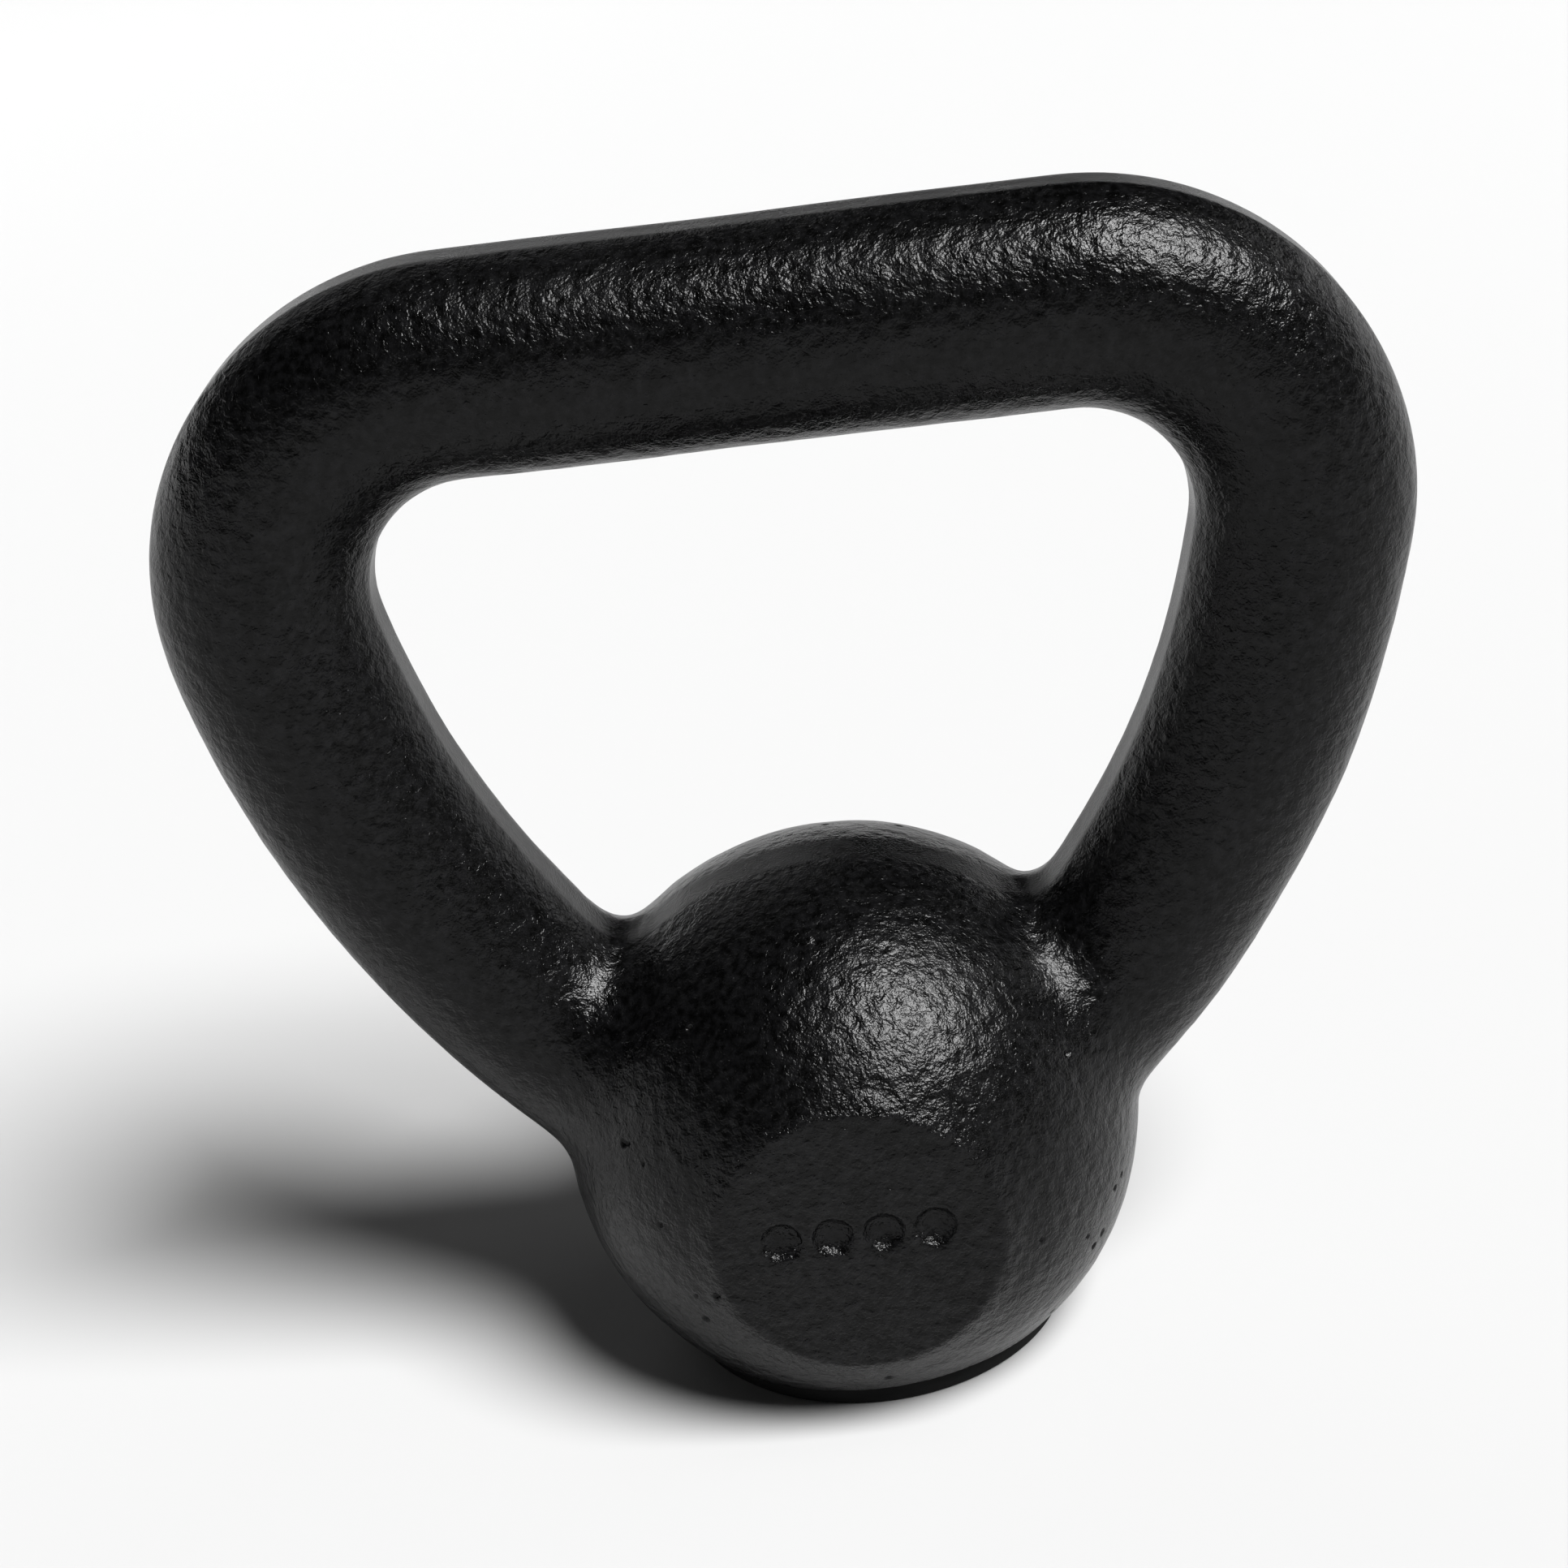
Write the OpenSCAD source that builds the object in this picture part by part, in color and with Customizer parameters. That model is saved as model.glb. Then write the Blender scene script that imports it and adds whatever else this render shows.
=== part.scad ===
// Small cast-iron kettlebell: a ball with two flats, a round-bar handle whose
// horns bow outwards, and a rubber foot disc bonded under the ball.
// Millimetres. +Z up, X along the grip, front flat towards -Y,
// origin at the centre of the foot's underside.

/* [Ball] */
// Diameter of the ball
ball_d = 85; // [80:1:92]
// Height of the ball's centre above the floor
ball_z = 33; // [31:0.5:37]
// Distance from the ball's axis to its front flat and to its back flat
flat_y = 37.5; // [34:0.5:39]

/* [Handle] */
// Diameter of the round handle, the same all the way
bar_d = 31; // [26:0.5:34]
// Height of the grip's centreline above the floor
grip_z = 151; // [145:0.5:160]
// Length of the straight grip, from corner to corner
grip_l = 81; // [60:1:100]
// Bend radius of each corner's centreline
corner_r = 30; // [22:0.5:36]
// Angle that each corner turns through, in degrees
corner_turn = 102; // [96:1:106]
// Radius of each horn's outward bow, on its centreline
horn_r = 143; // [130:1:200]

/* [Weight marks] */
// Number of dimples in the front flat, one for each kilogram
mark_n = 4; // [1:1:5]
// Width of each dimple at the surface
mark_d = 5.5; // [3:0.5:6]
// Depth of each dimple
mark_depth = 1.2; // [0.5:0.1:1.5]
// Distance between dimple centres
mark_pitch = 7; // [6.5:0.5:8]
// Height of the row of dimples above the ball's centre
mark_rise = 1.5; // [-2:0.5:4]

/* [Foot] */
// Diameter of the rubber foot
foot_d = 57; // [50:0.5:60]
// Thickness of the rubber foot
foot_h = 4; // [2:0.5:5]
// Chamfer around the foot's lower edge
foot_chamfer = 0.6; // [0.2:0.1:1]

/* [Hidden] */
$fn = 96;

ball_r = ball_d / 2;
bar_r = bar_d / 2;
// A block large enough to trim any side of the ball
trim = 2 * ball_d;
// Sphere that leaves a dimple of the wanted width and depth
mark_r = (pow(mark_d / 2, 2) + pow(mark_depth, 2)) / (2 * mark_depth);
// A corner starts at the grip's end and stops at this angle above the X axis
corner_end = 90 - corner_turn;
corner_x = grip_l / 2;
corner_z = grip_z - corner_r;
// The horn's arc joins the corner's arc with no kink, so both centres lie on
// one line through the joint
horn_x = corner_x - (horn_r - corner_r) * cos(corner_end);
horn_z = corner_z - (horn_r - corner_r) * sin(corner_end);
// The horn's arc is drawn on into the ball and trimmed there; it stops where
// its centreline is half way in towards the ball's centre
horn_reach = norm([horn_x, horn_z - ball_z]);
horn_to_ball = atan2(ball_z - horn_z, -horn_x);
horn_stop = horn_to_ball + acos((pow(horn_r, 2) + pow(horn_reach, 2)
                                 - pow(ball_r / 2, 2)) / (2 * horn_r * horn_reach));

IRON = "#1c1c1e";
RUBBER = "#0f0f10";

module ball_blank() {
    translate([0, 0, ball_z]) sphere(r = ball_r);
}

// Round bar bent round a centre in the XZ plane, between two angles
module bent_bar(x, z, bend_r, from, to) {
    translate([x, 0, z]) rotate([90, 0, 0]) rotate([0, 0, from])
        rotate_extrude(angle = to - from) translate([bend_r, 0]) circle(r = bar_r);
}

// Front flat, back flat and the flat that the foot is bonded to
module flats() {
    for (side = [-1, 1])
        translate([0, side * (flat_y + trim / 2), ball_z]) cube(trim, center = true);
    translate([0, 0, foot_h - trim / 2]) cube(trim, center = true);
}

module weight_dimples() {
    for (i = [0 : mark_n - 1])
        translate([(i - (mark_n - 1) / 2) * mark_pitch,
                   -flat_y - mark_r + mark_depth, ball_z + mark_rise])
            sphere(r = mark_r);
}

module bell() {
    color(IRON) difference() {
        ball_blank();
        flats();
        weight_dimples();
    }
}

module right_horn() {
    color(IRON) difference() {
        bent_bar(horn_x, horn_z, horn_r, horn_stop, corner_end);
        ball_blank();
    }
}

module left_horn() {
    mirror([1, 0, 0]) right_horn();
}

module right_corner() {
    color(IRON) bent_bar(corner_x, corner_z, corner_r, corner_end, 90);
}

module left_corner() {
    mirror([1, 0, 0]) right_corner();
}

module handle_grip() {
    color(IRON) translate([-grip_l / 2, 0, grip_z]) rotate([0, 90, 0])
        cylinder(r = bar_r, h = grip_l);
}

module base_foot() {
    color(RUBBER) {
        cylinder(r1 = foot_d / 2 - foot_chamfer, r2 = foot_d / 2, h = foot_chamfer);
        translate([0, 0, foot_chamfer])
            cylinder(r = foot_d / 2, h = foot_h - foot_chamfer);
    }
}

bell();
left_horn();
right_horn();
left_corner();
right_corner();
handle_grip();
base_foot();
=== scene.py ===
# %% [markdown]
# # A small cast-iron kettlebell
#
# A kettlebell is one iron casting: a ball, two horns that rise from its
# shoulders, and a round grip that joins them through two tight corners. Sand
# leaves its grain in the iron, and a coat of black enamel rounds every edge of
# that grain, so the surface looks pebbled and wet at the same time. Under the
# ball sits a thin disc of black rubber.
#
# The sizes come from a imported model, the frame, which holds the ball, horns,
# corners, grip and foot as plain solids. This script models the casting again
# as one seamless skin with fillets, dimples and an uneven surface, and gives
# each piece its finish. Everything is in metres, with the floor at z = 0.

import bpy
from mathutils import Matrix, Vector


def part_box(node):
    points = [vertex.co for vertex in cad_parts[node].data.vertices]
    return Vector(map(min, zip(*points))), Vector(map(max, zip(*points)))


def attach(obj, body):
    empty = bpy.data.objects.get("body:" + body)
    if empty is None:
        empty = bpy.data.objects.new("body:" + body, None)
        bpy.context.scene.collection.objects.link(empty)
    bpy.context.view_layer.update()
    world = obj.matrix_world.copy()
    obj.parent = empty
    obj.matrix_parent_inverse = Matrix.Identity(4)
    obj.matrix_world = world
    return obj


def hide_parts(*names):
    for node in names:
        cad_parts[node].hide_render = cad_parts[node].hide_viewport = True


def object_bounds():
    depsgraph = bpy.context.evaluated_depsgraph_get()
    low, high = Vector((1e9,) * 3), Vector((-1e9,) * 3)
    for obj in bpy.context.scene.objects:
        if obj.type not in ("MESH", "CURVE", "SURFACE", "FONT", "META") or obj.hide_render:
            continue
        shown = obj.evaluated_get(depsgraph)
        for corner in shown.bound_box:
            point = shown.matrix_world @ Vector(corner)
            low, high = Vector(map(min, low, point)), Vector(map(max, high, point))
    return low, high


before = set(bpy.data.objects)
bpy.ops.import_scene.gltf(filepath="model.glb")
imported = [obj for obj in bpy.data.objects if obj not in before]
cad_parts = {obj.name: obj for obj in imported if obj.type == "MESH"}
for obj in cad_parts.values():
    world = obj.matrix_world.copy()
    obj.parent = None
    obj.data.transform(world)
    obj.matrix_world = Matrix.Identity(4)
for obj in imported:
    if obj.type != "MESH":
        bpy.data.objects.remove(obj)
cad_low, cad_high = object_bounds()
print("frame nodes:", sorted(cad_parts))
print("overall size in mm:", [round(1000 * side) for side in cad_high - cad_low])

# %% Modules
import math
import random

import bmesh
import bpy
from mathutils import Matrix, Vector, kdtree, noise

MM = 0.001

# %% [markdown]
# ## Sizes
#
# Every driving size is read off the boxes of the frame's nodes, so the skin
# always fits the solids it stands for. The ball's box gives its radius, its
# centre and its flats. The corner's box gives the bend: its lowest point is the
# outer rim of the cut where the corner ends and the horn begins, and that tells
# how far the corner turns. The bow of a horn can't be read from a box, so it is
# the one size that is stated here.

# %% Read the sizes
_, ball_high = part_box("bell")
grip_low, grip_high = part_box("handle_grip")
corner_low, corner_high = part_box("right_corner")
_, foot_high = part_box("base_foot")

ball_radius = ball_high.x
ball_centre = Vector((0, 0, ball_high.z - ball_radius))
flat_y = ball_high.y
bar_radius = (grip_high.z - grip_low.z) / 2
grip_end = grip_high.x
grip_height = (grip_high.z + grip_low.z) / 2
bend_radius = corner_high.x - grip_end - bar_radius
bend_centre = Vector((grip_end, 0, grip_height - bend_radius))
corner_slope = math.asin((bend_centre.z - corner_low.z) / (bend_radius + bar_radius))
bow_radius = 143 * MM
bow_centre = bend_centre - (bow_radius - bend_radius) * Vector(
    (math.cos(corner_slope), 0, -math.sin(corner_slope)))
foot_radius = foot_high.x
foot_top = foot_high.z

print(f"ball radius {ball_radius / MM:.1f} mm, bar radius {bar_radius / MM:.1f} mm")
print(f"each corner turns {90 + math.degrees(corner_slope):.1f} degrees")

# %% [markdown]
# ## Small helpers
#
# A bmesh is Blender's mesh workbench: shapes are made and changed there with
# operators, then handed to an object. Two helpers do the handing over: one
# turns a bmesh into an object at the origin, and the other bakes an object's
# modifiers into its mesh.

# %% Helpers for meshes
def make_object(name, bm):
    mesh = bpy.data.meshes.new(name)
    bm.to_mesh(mesh)
    bm.free()
    piece = bpy.data.objects.new(name, mesh)
    bpy.context.scene.collection.objects.link(piece)
    return piece


def apply_modifiers(piece):
    graph = bpy.context.evaluated_depsgraph_get()
    plain = piece.data
    finished = bpy.data.meshes.new_from_object(piece.evaluated_get(graph))
    piece.modifiers.clear()
    piece.data = finished
    bpy.data.meshes.remove(plain)


# %% [markdown]
# ## The ball
#
# The pattern for a kettlebell's ball is a sphere with a slice taken off at the
# bottom, where it stands, and a slice off the front and the back. A sphere made
# of nearly equal triangles has no poles that could pinch, so an icosphere is
# the start. Each slice is one cut by a plane: bisect_plane throws away what
# lies outside it, and the open rim is filled.

# %% Model the ball
def slice_off(bm, point, outward):
    cut = bmesh.ops.bisect_plane(
        bm, geom=bm.verts[:] + bm.edges[:] + bm.faces[:],
        plane_co=point, plane_no=outward, clear_outer=True)
    rim = [part for part in cut["geom_cut"] if isinstance(part, bmesh.types.BMEdge)]
    bmesh.ops.edgeloop_fill(bm, edges=rim)


casting = bmesh.new()
bmesh.ops.create_icosphere(casting, subdivisions=7, radius=ball_radius,
                           matrix=Matrix.Translation(ball_centre))
slice_off(casting, (0, -flat_y, 0), (0, -1, 0))
slice_off(casting, (0, flat_y, 0), (0, 1, 0))
slice_off(casting, (0, 0, foot_top), (0, 0, -1))
print("ball:", len(casting.faces), "faces")

# %% [markdown]
# ## The handle
#
# The handle is one round bar of constant thickness that bends twice on each
# side: sharply at the corner, then in a long gentle bow down into the ball.
# Spin is made for this. A ring of vertices starts in the middle of the grip, is
# extruded straight to the grip's end, then is spun about the corner's centre
# and again about the bow's centre. The bow runs on inside the ball, where its
# end is closed. The other half is a mirror image.

# %% Model the handle
def run_bar(bm, ring, centre, turn, steps):
    spun = bmesh.ops.spin(bm, geom=ring, cent=centre, axis=(0, 1, 0), angle=turn,
                          steps=steps, use_duplicate=False)
    return [part for part in spun["geom_last"] if isinstance(part, bmesh.types.BMEdge)]


bow_turn = math.radians(37)
handle = bmesh.new()
bmesh.ops.create_circle(
    handle, cap_ends=False, segments=96, radius=bar_radius,
    matrix=Matrix.Translation((0, 0, grip_height)) @ Matrix.Rotation(math.pi / 2, 4, "Y"))
straight = bmesh.ops.extrude_edge_only(handle, edges=handle.edges[:])["geom"]
bmesh.ops.translate(
    handle, verts=[v for v in straight if isinstance(v, bmesh.types.BMVert)],
    vec=(grip_end, 0, 0))
ring = [e for e in straight if isinstance(e, bmesh.types.BMEdge)
        and all(abs(v.co.x - grip_end) < 1e-6 for v in e.verts)]
ring = run_bar(handle, ring, bend_centre, math.pi / 2 + corner_slope, 60)
ring = run_bar(handle, ring, bow_centre, bow_turn, 90)
bmesh.ops.edgeloop_fill(handle, edges=ring)
bmesh.ops.mirror(handle, geom=handle.verts[:] + handle.edges[:] + handle.faces[:],
                 axis="X", merge_dist=1e-6)
bmesh.ops.remove_doubles(handle, verts=handle.verts[:], dist=1e-6)
bmesh.ops.recalc_face_normals(handle, faces=handle.faces[:])
print("handle:", len(handle.faces), "faces")

# %% [markdown]
# ## One casting
#
# The ball and the handle still pass through each other. A boolean would join
# them, but it leaves long thin faces along the joint that can't be smoothed
# well. A voxel remesh measures both shapes on a fine grid and wraps one even
# skin of square faces around them, which is what the next steps need. A cell of
# 0.94 mm keeps the skin under the size limit of 200,000 triangles.

# %% Fuse the ball and the handle
SKIN_CELL = 0.94 * MM

handle_mesh = bpy.data.meshes.new("handle")
handle.to_mesh(handle_mesh)
handle.free()
casting.from_mesh(handle_mesh)
bpy.data.meshes.remove(handle_mesh)
iron = make_object("iron_casting", casting)
remesh = iron.modifiers.new("fuse", "REMESH")
remesh.mode = "VOXEL"
remesh.voxel_size = SKIN_CELL
apply_modifiers(iron)
print("fused skin:", len(iron.data.polygons), "faces")

# %% [markdown]
# ## Fillets
#
# In a sand mould every inside corner is rounded, because sharp sand would break
# off and sharp iron would crack. The fillet is widest at the front and the back
# of each horn, smaller inside the window and tight on the outer side. A bevel
# can't follow such a curved joint, so the skin's vertices are moved instead. The
# distances to the ball and to the bar are blended into one "soft distance",
# which is zero on a surface that rolls from one shape into the other. Each
# vertex near the joint is stepped along the slope of that soft distance until
# it reads zero.

# %% Measure how far a place is from the ball and from the bow
TIGHT_FILLET = 1.5 * MM
WIDE_FILLET = 9.5 * MM
# Half a sine wave, stopped early so that some width is left inside the window
FILLET_SWING = 0.8 * math.pi


def to_ball(place):
    away = place - ball_centre
    return away.length - ball_radius, away.normalized()


def to_bow(place):
    side = 1 if place.x > 0 else -1
    spoke = Vector((side * place.x, 0, place.z)) - bow_centre
    off_line = spoke.length - bow_radius
    line = bow_centre + spoke.normalized() * bow_radius
    away = place - Vector((side * line.x, 0, line.z))
    return away.length - bar_radius, away.normalized(), off_line


def soft_distance(place):
    ball, from_ball = to_ball(place)
    bar, from_bar, off_line = to_bow(place)
    # 0 on the outer side of the bow, 1 on the side that faces the window
    inner = 0.5 - 0.5 * min(max(off_line / bar_radius, -1), 1)
    width = math.sin(FILLET_SWING * inner)
    blend = TIGHT_FILLET + (WIDE_FILLET - TIGHT_FILLET) * width
    share = min(max(0.5 + 0.5 * (bar - ball) / blend, 0), 1)
    depth = bar + (ball - bar) * share - blend * share * (1 - share)
    slope = from_bar.lerp(from_ball, share)
    return depth, slope, 0 < share < 1 and max(ball, bar) < blend


def joint_gap(place):
    return max(abs(to_ball(place)[0]), abs(to_bow(place)[0]))


# %% Round the joints between the horns and the ball
def relax(bm, verts, passes):
    for _ in range(passes):
        bmesh.ops.smooth_vert(bm, verts=verts, factor=0.5, use_axis_x=True,
                              use_axis_y=True, use_axis_z=True)


skin = bmesh.new()
skin.from_mesh(iron.data)
relax(skin, skin.verts[:], 4)
joint = [v for v in skin.verts if joint_gap(v.co) < WIDE_FILLET]
for settle in (6, 3, 1):
    for vert in joint:
        for _ in range(3):
            depth, slope, blended = soft_distance(vert.co)
            if blended:
                vert.co -= slope * (depth / slope.length_squared)
    relax(skin, joint, settle)
print("vertices around the joints:", len(joint))

# %% [markdown]
# ## Finding and refining places on the skin
#
# The skin is too coarse for a crisp rim, a dimple or a pit. The faces around
# such a place are divided first. A k-d tree, which sorts points by where they
# are, finds the vertices near a place without trying all of them.

# %% Helpers to find and refine places
def vertex_tree(bm):
    bm.verts.ensure_lookup_table()
    tree = kdtree.KDTree(len(bm.verts))
    for vert in bm.verts:
        tree.insert(vert.co, vert.index)
    tree.balance()
    return tree


def refine(bm, places, reach, cuts):
    bm.verts.index_update()
    tree = vertex_tree(bm)
    near = {bm.verts[found[1]] for place in places
            for found in tree.find_range(place, reach)}
    edges = {e for v in near for e in v.link_edges if e.other_vert(v) in near}
    bmesh.ops.subdivide_edges(bm, edges=list(edges), cuts=cuts, use_grid_fill=True)
    bm.verts.index_update()
    return len(edges)


# %% [markdown]
# ## Rims around the flats
#
# The flats are pressed into the mould by the pattern, and their rims can be
# seen all round on the real casting, but the smoothing above has washed them
# out. So the skin is refined along each rim, and every vertex there is put back:
# inside the rim onto the plane, outside it onto the ball. A last light
# smoothing leaves the small round edge that enamel gives.

# %% Sharpen the rims of the flats
RIM_BAND = 2.2 * MM
RIM_DROP = 2 * MM
RIM_EDGE = 0.7 * MM
RIM_REACH = 1.4 * MM

rim_radius = math.sqrt(ball_radius ** 2 - flat_y ** 2)
rim_places = []
for step in range(120):
    turn = math.radians(3 * step)
    for side in (-1, 1):
        rim_places.append(ball_centre + Vector((rim_radius * math.cos(turn), side * flat_y,
                                                rim_radius * math.sin(turn))))
print("edges divided along the rims:", refine(skin, rim_places, RIM_REACH, 2))
rim_edge = []
for vert in skin.verts:
    from_axis = math.hypot(vert.co.x, vert.co.z - ball_centre.z)
    if abs(vert.co.y) < flat_y - RIM_DROP or from_axis > rim_radius + RIM_BAND:
        continue
    if abs(from_axis - rim_radius) < RIM_EDGE:
        rim_edge.append(vert)
    if from_axis < rim_radius:
        vert.co.y = math.copysign(flat_y, vert.co.y)
    else:
        depth, outward = to_ball(vert.co)
        vert.co -= outward * depth
relax(skin, rim_edge, 3)

# %% [markdown]
# ## Weight marks
#
# The front flat carries four sunk dimples in a row, one for each kilogram. They
# are pressed into the sand by the pattern, so their rims are soft. The vertices
# are moved back along the flat's normal, deepest in the middle.

# %% Sink the dimples
MARKS = 4
MARK_PITCH = 7 * MM
MARK_RADIUS = 2.75 * MM
MARK_DEPTH = 1.2 * MM
MARK_RISE = 1.5 * MM
MARK_MARGIN = 0.9 * MM
# A power of a half gives a round bowl, and a smaller one a flatter floor
MARK_BOWL = 0.45
# How far the soft rim reaches into the dimple and out of it
RIM_IN = 0.6 * MM
RIM_OUT = 0.4 * MM

marks = [Vector(((i - (MARKS - 1) / 2) * MARK_PITCH, -flat_y, ball_centre.z + MARK_RISE))
         for i in range(MARKS)]
refine(skin, marks, MARK_RADIUS + MARK_MARGIN, 2)
tree = vertex_tree(skin)
for mark in marks:
    for _, index, away in tree.find_range(mark, MARK_RADIUS):
        bowl = (1 - (away / MARK_RADIUS) ** 2) ** MARK_BOWL
        skin.verts[index].co.y += MARK_DEPTH * bowl
rims = [skin.verts[found[1]] for mark in marks
        for found in tree.find_range(mark, MARK_RADIUS + RIM_OUT)
        if found[2] > MARK_RADIUS - RIM_IN]
relax(skin, rims, 2)
print("dimples:", len(marks), "with", len(rims), "vertices on their rims")

# %% [markdown]
# ## Sand-cast unevenness and the ground seam
#
# No sand casting is a perfect shape. The mould gives a little under the iron, so
# three layers of smooth noise move the skin by a few tenths of a millimetre: a
# long swell, a shorter ripple and a fine pebble. The halves of the mould meet in
# the plane of the handle, and iron creeps between them as a thin fin. It is
# ground off by hand, which leaves a narrow smooth facet around the handle,
# inside the window and over the ball. There the ripple and the pebble are left
# out, and the round section is cut down to a chord. Everything moves inwards,
# because the outer size of the casting is fixed. The moves fade away towards
# the flat underneath, which stays true for the foot.

# %% Roughen the skin and grind the seam
# Each layer of noise has the length of its waves and its height
SWELL = (30 * MM, 0.55 * MM)
RIPPLES = ((10 * MM, 0.16 * MM), (3 * MM, 0.10 * MM))
NOISE_START = Vector((3, 5, 7))
SEAM_HALF = 3.3 * MM
FADE = 1 * MM
NEAR_BALL = 0.5 * MM


def unevenness(place, wave, height, share):
    return height * (0.5 + 0.5 * share * noise.noise(place / wave + NOISE_START))


def chord_depth(place):
    on_ball = to_ball(place)[0] < NEAR_BALL
    curve = ball_radius if on_ball else bar_radius
    return max(SEAM_HALF ** 2 - place.y ** 2, 0) / (2 * curve)


skin.normal_update()
moves = []
for vert in skin.verts:
    off_seam = min(max((abs(vert.co.y) - SEAM_HALF) / FADE, 0), 1)
    sink = unevenness(vert.co, *SWELL, 1) + chord_depth(vert.co)
    for ripple in RIPPLES:
        sink += unevenness(vert.co, *ripple, off_seam)
    off_foot = min(max((vert.co.z - foot_top) / FADE, 0), 1)
    moves.append((vert, vert.normal * sink * off_foot))
for vert, move in moves:
    vert.co -= move
print("deepest sink in mm:", round(max(m.length for _, m in moves) / MM, 2))

# %% [markdown]
# ## Gas pits
#
# Gas leaves the damp sand when the iron is poured, and the last bubbles stay
# against the skin as small round pits. They are scattered over the ball by a
# seeded random draw, more of them low down, and keep away from the flats, the
# foot and the horns. Each pit is a shallow bowl of moved vertices, so that it is
# a real hollow in the mesh and not only a pattern in the finish.

# %% Sink the gas pits
PITS = 40
PIT_RADII = (0.4, 0.7)
PIT_DEPTH = 0.8
PIT_REACH = 1.6 * MM
PIT_TO_FOOT = 2 * MM
PIT_TO_HORN = 6 * MM
# About how deep the skin of the ball lies under the true sphere by now
MEAN_SINK = 0.4 * MM

chance = random.Random(4)
pits = []
while len(pits) < PITS:
    aim = Vector((chance.gauss(0, 1), chance.gauss(0, 1), chance.gauss(-0.3, 0.6)))
    place = ball_centre + aim.normalized() * (ball_radius - MEAN_SINK)
    if abs(place.y) < flat_y - MM and place.z > foot_top + PIT_TO_FOOT:
        if joint_gap(place) > PIT_TO_HORN:
            pits.append((place, chance.uniform(*PIT_RADII) * MM))
refine(skin, [place for place, size in pits], PIT_REACH, 2)
skin.normal_update()
tree = vertex_tree(skin)
for place, size in pits:
    for _, index, away in tree.find_range(place, size):
        vert = skin.verts[index]
        vert.co -= vert.normal * PIT_DEPTH * size * (1 - (away / size) ** 2)
print("pits:", len(pits))

# %% Finish the skin
bmesh.ops.recalc_face_normals(skin, faces=skin.faces[:])
for face in skin.faces:
    face.smooth = True
skin.to_mesh(iron.data)
skin.free()
triangles = sum(len(p.vertices) - 2 for p in iron.data.polygons)
print("casting:", triangles, "triangles")

# %% [markdown]
# ## The rubber foot
#
# The foot is moulded rubber, bonded to the flat under the ball. Its profile is
# drawn once, from the middle of its top to the middle of its underside, with
# three ring grooves that give the rubber room to spread, and is spun a full
# turn about the vertical. A small bevel rounds the moulded edges.

# %% Model the foot
CHAMFER = 0.6 * MM
GROOVES = (10 * MM, 16 * MM, 22 * MM)
GROOVE_WIDTH = 1.2 * MM
GROOVE_DEPTH = 0.5 * MM
EDGE_ROUND = 0.12 * MM
SHARP_ANGLE = math.radians(25)

profile = [(0, foot_top), (foot_radius, foot_top), (foot_radius, CHAMFER),
           (foot_radius - CHAMFER, 0)]
for middle in reversed(GROOVES):
    outer, inner = middle + GROOVE_WIDTH / 2, middle - GROOVE_WIDTH / 2
    profile += [(outer, 0), (outer - GROOVE_DEPTH / 3, GROOVE_DEPTH),
                (inner + GROOVE_DEPTH / 3, GROOVE_DEPTH), (inner, 0)]
profile.append((0, 0))

foot = bmesh.new()
outline = [foot.verts.new((radius, 0, height)) for radius, height in profile]
for start, end in zip(outline, outline[1:]):
    foot.edges.new((start, end))
bmesh.ops.spin(foot, geom=foot.verts[:] + foot.edges[:], cent=(0, 0, 0), axis=(0, 0, 1),
               angle=2 * math.pi, steps=160, use_merge=True, use_duplicate=False)
bmesh.ops.remove_doubles(foot, verts=foot.verts[:], dist=1e-6)
bmesh.ops.recalc_face_normals(foot, faces=foot.faces[:])
corners = [e for e in foot.edges if len(e.link_faces) == 2
           and e.calc_face_angle() > SHARP_ANGLE
           and abs(e.verts[0].co.z - e.verts[1].co.z) < 1e-7]
bmesh.ops.bevel(foot, geom=corners, offset=EDGE_ROUND, offset_type="OFFSET", segments=2,
                profile=0.5, affect="EDGES", material=-1, clamp_overlap=True)
for face in foot.faces:
    face.smooth = True
rubber = make_object("rubber_foot", foot)
print("foot:", len(rubber.data.polygons), "faces")

# %% [markdown]
# ## Helpers for finishes
#
# A finish is a small network of nodes. One function adds a node, sets its
# options, and fills or links its inputs. Colours are chosen as the sRGB hex
# values that a screen shows, and one function turns them into the linear values
# that light is worked out in. A noise texture keeps mostly to the middle of its
# range, so the ends that are used for it are named too.

# %% Helpers for materials
NOISE_LOW = 0.3
NOISE_HIGH = 0.7


def linear(hex_colour):
    shares = [int(hex_colour[i:i + 2], 16) / 255 for i in (1, 3, 5)]
    return [s / 12.92 if s <= 0.04045 else ((s + 0.055) / 1.055) ** 2.4
            for s in shares] + [1]


def add(tree, kind, inputs=None, **options):
    made = tree.nodes.new(kind)
    for name, value in options.items():
        setattr(made, name, value)
    for name, value in (inputs or {}).items():
        if isinstance(value, bpy.types.NodeSocket):
            tree.links.new(value, made.inputs[name])
        else:
            made.inputs[name].default_value = value
    return made


def new_finish(name):
    material = bpy.data.materials.new(name)
    material.use_nodes = True
    material.node_tree.nodes.clear()
    return material, material.node_tree


# %% [markdown]
# ## Black enamel on sand-cast iron
#
# The iron is sprayed with a black enamel and baked. The sand's grain, pebbles
# of one to two millimetres, shows through as soft bumps, and the enamel is
# glossy enough for every bump to catch the lamp by itself. So a highlight here
# is a patch of small curved glints and not a clean white spot. The eye gets
# three things: a black that is deep where the coat is thick and greyer where it
# is thin, a gloss that is a little uneven, and a bump in three sizes: pebbles,
# wrinkles in the coat, and a fine dusting of sand. The flats come out of the
# mould rougher than the ball, so they get a grit of their own, which fades away
# over their rims. The ground seam is smooth, with an edge that wavers as a
# grinder held by hand does.

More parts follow.
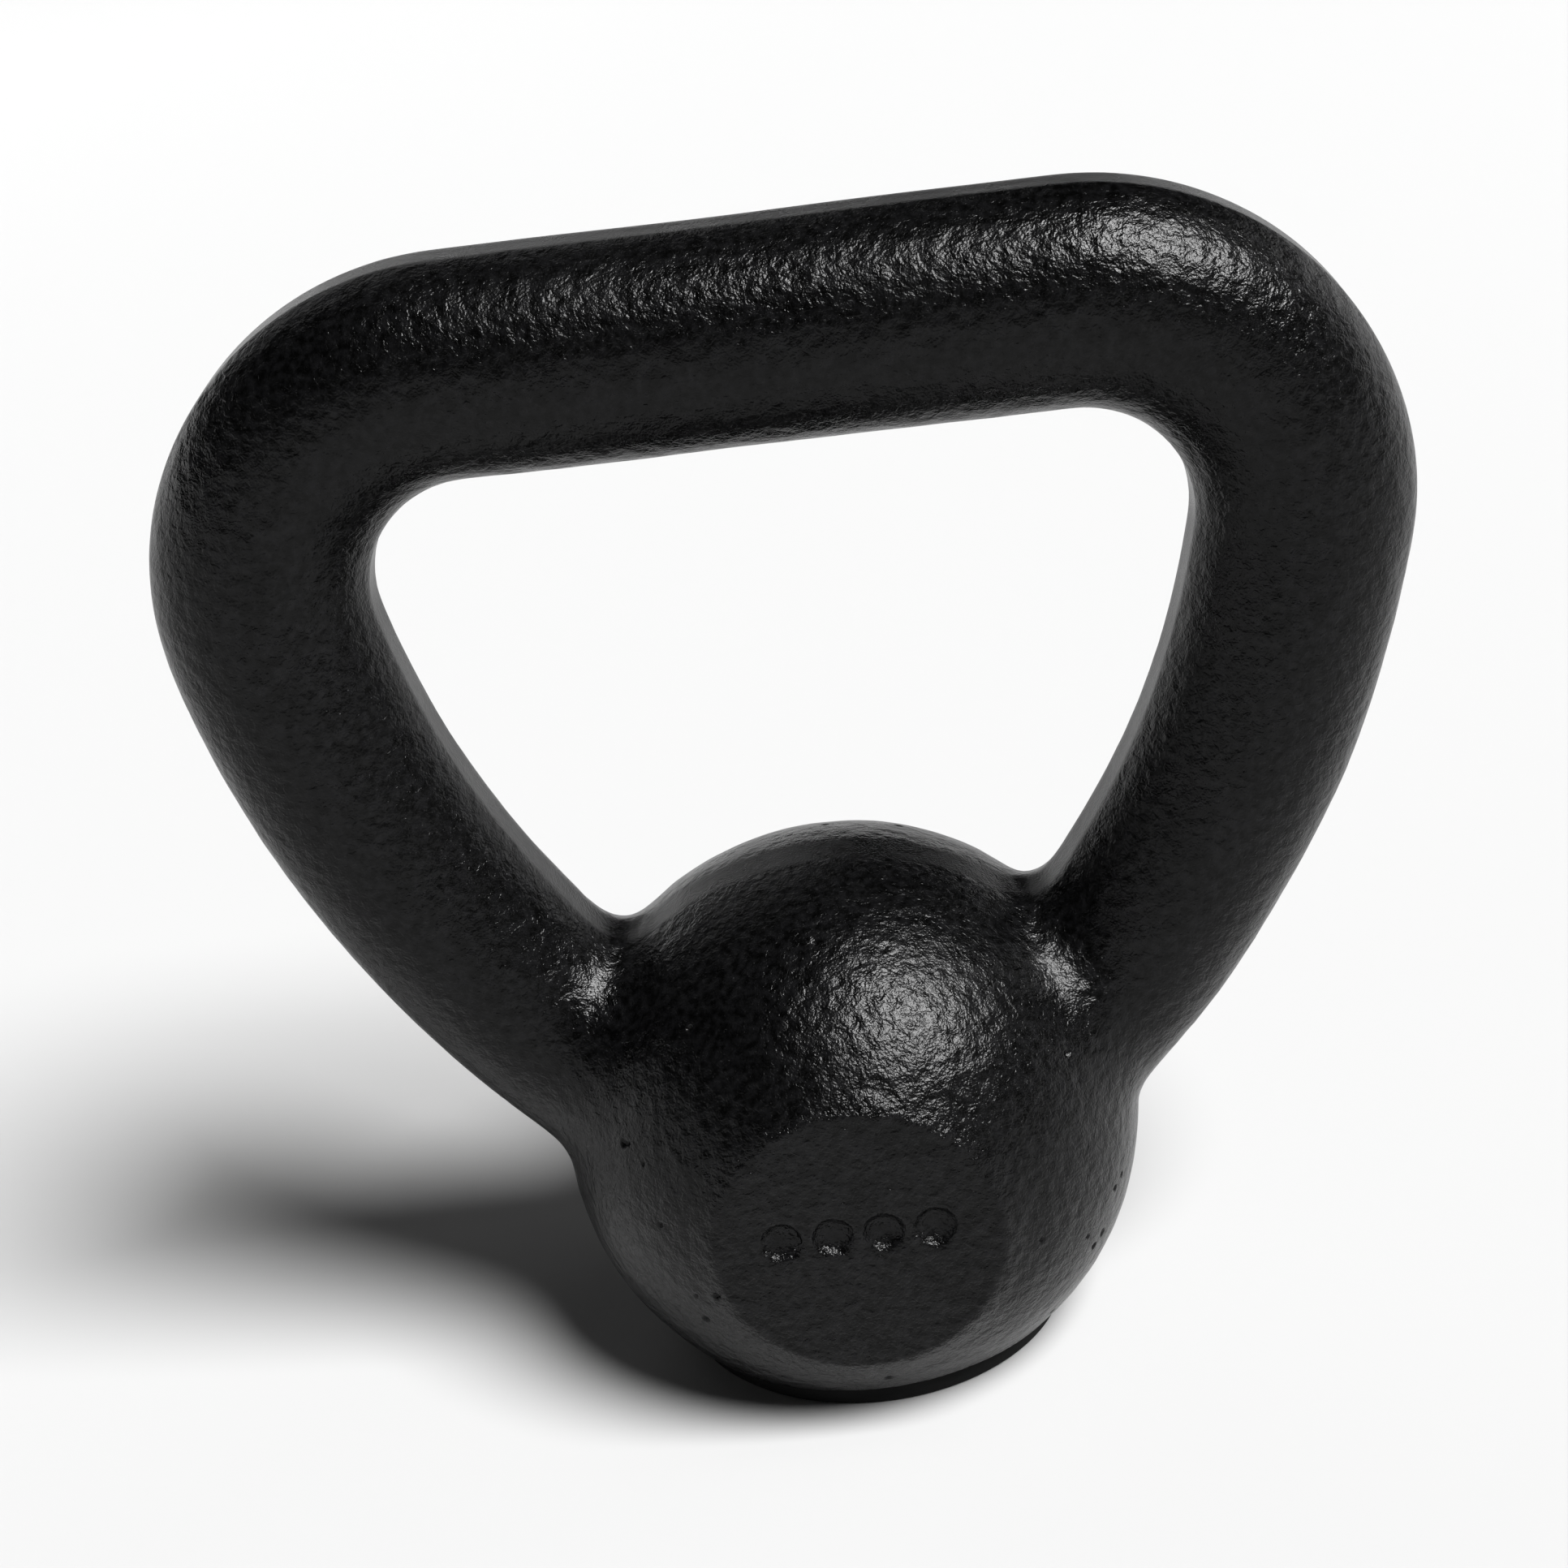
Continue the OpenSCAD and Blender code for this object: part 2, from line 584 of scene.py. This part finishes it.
# %% Finish: black enamel on cast iron
# Sizes of the patterns in millimetres
PEBBLE = 2.2
WRINKLE = 0.85
SAND = 0.3
GRIT = 1.3
PATCH = 14
# How far under a flat its grit starts, and where it is full, in millimetres
GRIT_FROM = 2.4
GRIT_FULL = 0.8
# How far the edge of the seam wanders, in millimetres, and the share of the
# grain that the grinder left
SEAM_WAVER = 2.0
SEAM_GRAIN = 0.12
# The reading of the grit where the coat starts to thin, and where it is thinnest
COAT_THINS = 0.38
COAT_THINNEST = 0.66

enamel, tree = new_finish("black_enamel_on_cast_iron")
place = add(tree, "ShaderNodeTexCoord").outputs["Object"]
# Metres become millimetres, so that each pattern's scale is one over its size
place = add(tree, "ShaderNodeMapping", {"Vector": place, "Scale": (1 / MM,) * 3}).outputs[0]
pebbles = add(tree, "ShaderNodeTexVoronoi",
              {"Vector": place, "Scale": 1 / PEBBLE, "Smoothness": 0.6, "Randomness": 0.9},
              feature="SMOOTH_F1")
wrinkles = add(tree, "ShaderNodeTexNoise",
               {"Vector": place, "Scale": 1 / WRINKLE, "Detail": 2.0, "Roughness": 0.5,
                "Distortion": 0.6})
sand = add(tree, "ShaderNodeTexNoise",
           {"Vector": place, "Scale": 1 / SAND, "Detail": 1.0})
grit = add(tree, "ShaderNodeTexNoise",
           {"Vector": place, "Scale": 1 / GRIT, "Detail": 3.0, "Roughness": 0.6})
patches = add(tree, "ShaderNodeTexNoise", {"Vector": place, "Scale": 1 / PATCH, "Detail": 3.0})

across = add(tree, "ShaderNodeSeparateXYZ", {"Vector": place}).outputs["Y"]
from_middle = add(tree, "ShaderNodeMath", {0: across}, operation="ABSOLUTE").outputs[0]
on_flat = add(tree, "ShaderNodeMapRange",
              {"Value": from_middle, "From Min": flat_y / MM - GRIT_FROM,
               "From Max": flat_y / MM - GRIT_FULL}).outputs[0]
from_seam = add(tree, "ShaderNodeMath",
                {0: patches.outputs["Fac"], 1: SEAM_WAVER, 2: from_middle},
                operation="MULTIPLY_ADD").outputs[0]
cast_grain = add(tree, "ShaderNodeMapRange",
                 {"Value": from_seam, "From Min": SEAM_HALF / MM + NOISE_LOW * SEAM_WAVER,
                  "From Max": SEAM_HALF / MM + NOISE_HIGH * SEAM_WAVER,
                  "To Min": SEAM_GRAIN, "To Max": 1.0}).outputs[0]
rough_flat = add(tree, "ShaderNodeMath", {0: grit.outputs["Fac"], 1: on_flat},
                 operation="MULTIPLY")

bump = add(tree, "ShaderNodeBump",
           {"Height": rough_flat.outputs[0], "Strength": 1.0, "Distance": 0.45 * MM})
bump = add(tree, "ShaderNodeBump",
           {"Height": pebbles.outputs["Distance"], "Strength": cast_grain, "Distance": 0.20 * MM,
            "Normal": bump.outputs[0]})
bump = add(tree, "ShaderNodeBump",
           {"Height": wrinkles.outputs["Fac"], "Strength": cast_grain, "Distance": 0.19 * MM,
            "Normal": bump.outputs[0]})
bump = add(tree, "ShaderNodeBump",
           {"Height": sand.outputs["Fac"], "Strength": 1.0, "Distance": 0.06 * MM,
            "Normal": bump.outputs[0]})

gloss = add(tree, "ShaderNodeMapRange",
            {"Value": patches.outputs["Fac"], "From Min": NOISE_LOW, "From Max": NOISE_HIGH,
             "To Min": 0.24, "To Max": 0.31})
thin_coat = add(tree, "ShaderNodeMapRange",
                {"Value": grit.outputs["Fac"], "From Min": COAT_THINS,
                 "From Max": COAT_THINNEST})
tone = add(tree, "ShaderNodeMix",
           {"Factor": thin_coat.outputs[0], "A": linear("#040404"), "B": linear("#161617")},
           data_type="RGBA")
paint = add(tree, "ShaderNodeBsdfPrincipled",
            {"Base Color": tone.outputs["Result"], "Roughness": gloss.outputs[0],
             "IOR": 1.35, "Normal": bump.outputs[0]})
add(tree, "ShaderNodeOutputMaterial", {"Surface": paint.outputs[0]})
iron.data.materials.clear()
iron.data.materials.append(enamel)
print("enamel nodes:", len(tree.nodes))

# %% [markdown]
# ## Moulded rubber
#
# Rubber for a foot is filled with carbon black and moulded in a blasted tool.
# It reflects little and evenly: a dark grey-black with a high roughness, and a
# faint grain of a few tenths of a millimetre.

# %% Finish: moulded rubber
# Sizes of the patterns in millimetres
RUBBER_GRAIN = 0.4
SCUFF = 9

moulded, tree = new_finish("moulded_black_rubber")
place = add(tree, "ShaderNodeTexCoord").outputs["Object"]
place = add(tree, "ShaderNodeMapping", {"Vector": place, "Scale": (1 / MM,) * 3}).outputs[0]
grain = add(tree, "ShaderNodeTexNoise",
            {"Vector": place, "Scale": 1 / RUBBER_GRAIN, "Detail": 2.0})
scuffs = add(tree, "ShaderNodeTexNoise", {"Vector": place, "Scale": 1 / SCUFF, "Detail": 4.0})
bump = add(tree, "ShaderNodeBump",
           {"Height": grain.outputs["Fac"], "Strength": 1.0, "Distance": 0.04 * MM})
tone = add(tree, "ShaderNodeMix",
           {"Factor": scuffs.outputs["Fac"], "A": linear("#0c0c0c"), "B": linear("#161616")},
           data_type="RGBA")
matt = add(tree, "ShaderNodeMapRange",
           {"Value": scuffs.outputs["Fac"], "From Min": NOISE_LOW, "From Max": NOISE_HIGH,
            "To Min": 0.62, "To Max": 0.8})
skin_of_rubber = add(tree, "ShaderNodeBsdfPrincipled",
                     {"Base Color": tone.outputs["Result"], "Roughness": matt.outputs[0],
                      "IOR": 1.35, "Normal": bump.outputs[0]})
add(tree, "ShaderNodeOutputMaterial", {"Surface": skin_of_rubber.outputs[0]})
rubber.data.materials.append(moulded)
print("rubber nodes:", len(tree.nodes))

# %% [markdown]
# ## What each piece stands for
#
# The casting is one seamless piece, so it stands for six of the frame's nodes.
# A kettlebell has no joints: both pieces ride on the one body.

# %% Tie the pieces to the frame
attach(iron, "root")
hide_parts("bell", "left_horn", "right_horn", "left_corner", "right_corner",
            "handle_grip")
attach(rubber, "root")
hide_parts("base_foot")
print("pieces: iron_casting, rubber_foot")

# %% [markdown]
# ## Studio
#
# Black gloss shows the room more than itself. The room is a wide pale floor
# whose rim curves up into a low wall, so that a light line runs around every
# silhouette. Above it there is only a dim world, which keeps the middle of the
# bell black. The key is a sun lamp that is 30 degrees across, like a very large
# soft box far away to the front right. It lights the whole floor evenly, and it
# makes the patch of glints on the ball and the band along the grip. Two weak
# soft boxes, behind on the left and low on the right, draw the edges. The
# picture is developed with a little more contrast than usual, as black gloss
# often is.

# %% Build the floor
FLOOR_RADIUS = 2.4
WALL_RADIUS = 0.7

floor_mesh = bmesh.new()
middle = floor_mesh.verts.new((0, 0, 0))
edge = floor_mesh.verts.new((FLOOR_RADIUS, 0, 0))
floor_mesh.edges.new((middle, edge))
bmesh.ops.spin(floor_mesh, geom=[edge], cent=(FLOOR_RADIUS, 0, WALL_RADIUS),
               axis=(0, -1, 0), angle=math.pi / 2, steps=16, use_duplicate=False)
bmesh.ops.spin(floor_mesh, geom=floor_mesh.verts[:] + floor_mesh.edges[:], cent=(0, 0, 0),
               axis=(0, 0, 1), angle=2 * math.pi, steps=96, use_merge=True,
               use_duplicate=False)
bmesh.ops.remove_doubles(floor_mesh, verts=floor_mesh.verts[:], dist=1e-5)
for face in floor_mesh.faces:
    face.smooth = True
floor = make_object("studio_floor", floor_mesh)
pale, tree = new_finish("pale_paper_floor")
paper = add(tree, "ShaderNodeBsdfPrincipled",
            {"Base Color": linear("#c6c6c6"), "Roughness": 0.9,
             "Specular IOR Level": 0.1})
add(tree, "ShaderNodeOutputMaterial", {"Surface": paper.outputs[0]})
floor.data.materials.append(pale)
print("floor:", len(floor.data.polygons), "faces")

# %% Hang the lamps
middle_of_bell = (cad_low + cad_high) / 2


def around(azimuth, elevation, distance):
    turn, lift = math.radians(azimuth), math.radians(elevation)
    return distance * Vector((math.sin(turn) * math.cos(lift),
                              -math.cos(turn) * math.cos(lift), math.sin(lift)))


def hang(name, kind, place, aim):
    lamp = bpy.data.lights.new(name, kind)
    stand = bpy.data.objects.new(name, lamp)
    bpy.context.scene.collection.objects.link(stand)
    stand.location = place
    stand.rotation_mode = "QUATERNION"
    stand.rotation_quaternion = (place - aim).to_track_quat("Z", "Y")
    return lamp


def soft_box(name, place, aim, width, height, watts):
    lamp = hang(name, "AREA", place, aim)
    lamp.shape = "RECTANGLE"
    lamp.size, lamp.size_y = width, height
    lamp.energy = watts
    return lamp


key = hang("key", "SUN", around(51, 55, 3), Vector())
key.energy = 5.1
key.angle = math.radians(30)
soft_box("edge_behind_left", middle_of_bell + around(-155, 30, 1.8), middle_of_bell,
         width=1.3, height=1.0, watts=1.5)
soft_box("edge_low_right", middle_of_bell + around(118, 16, 1.6), middle_of_bell,
         width=1.0, height=0.8, watts=2.4)

world = bpy.data.worlds.new("dim_room")
world.use_nodes = True
world.node_tree.nodes["Background"].inputs["Color"].default_value = linear("#1c1c1c")
world.node_tree.nodes["Background"].inputs["Strength"].default_value = 1.0
bpy.context.scene.world = world
bpy.context.scene.view_settings.view_transform = "Standard"
bpy.context.scene.view_settings.look = "Medium High Contrast"

# %% [markdown]
# ## Camera
#
# The bell is seen from a little above and almost straight on, from close by,
# with the camera tilted so that the grip climbs to the right.

# %% Set up the camera
LOOK_AT = Vector((-3.8 * MM, 0, 85.8 * MM))
CAMERA_TURN = 2.7
CAMERA_LIFT = 23.9
CAMERA_AWAY = 0.3915
CAMERA_TILT = -7.5

camera_data = bpy.data.cameras.new("camera")
camera_data.lens = 64
camera = bpy.data.objects.new("camera", camera_data)
bpy.context.scene.collection.objects.link(camera)
back = around(CAMERA_TURN, CAMERA_LIFT, CAMERA_AWAY)
camera.location = LOOK_AT + back
camera.rotation_mode = "QUATERNION"
tilt = Matrix.Rotation(math.radians(CAMERA_TILT), 4, "Z").to_quaternion()
camera.rotation_quaternion = back.to_track_quat("Z", "Y") @ tilt
camera_data.clip_start, camera_data.clip_end = 0.01, 20
bpy.context.scene.camera = camera
print("camera distance in mm:", round(back.length / MM))
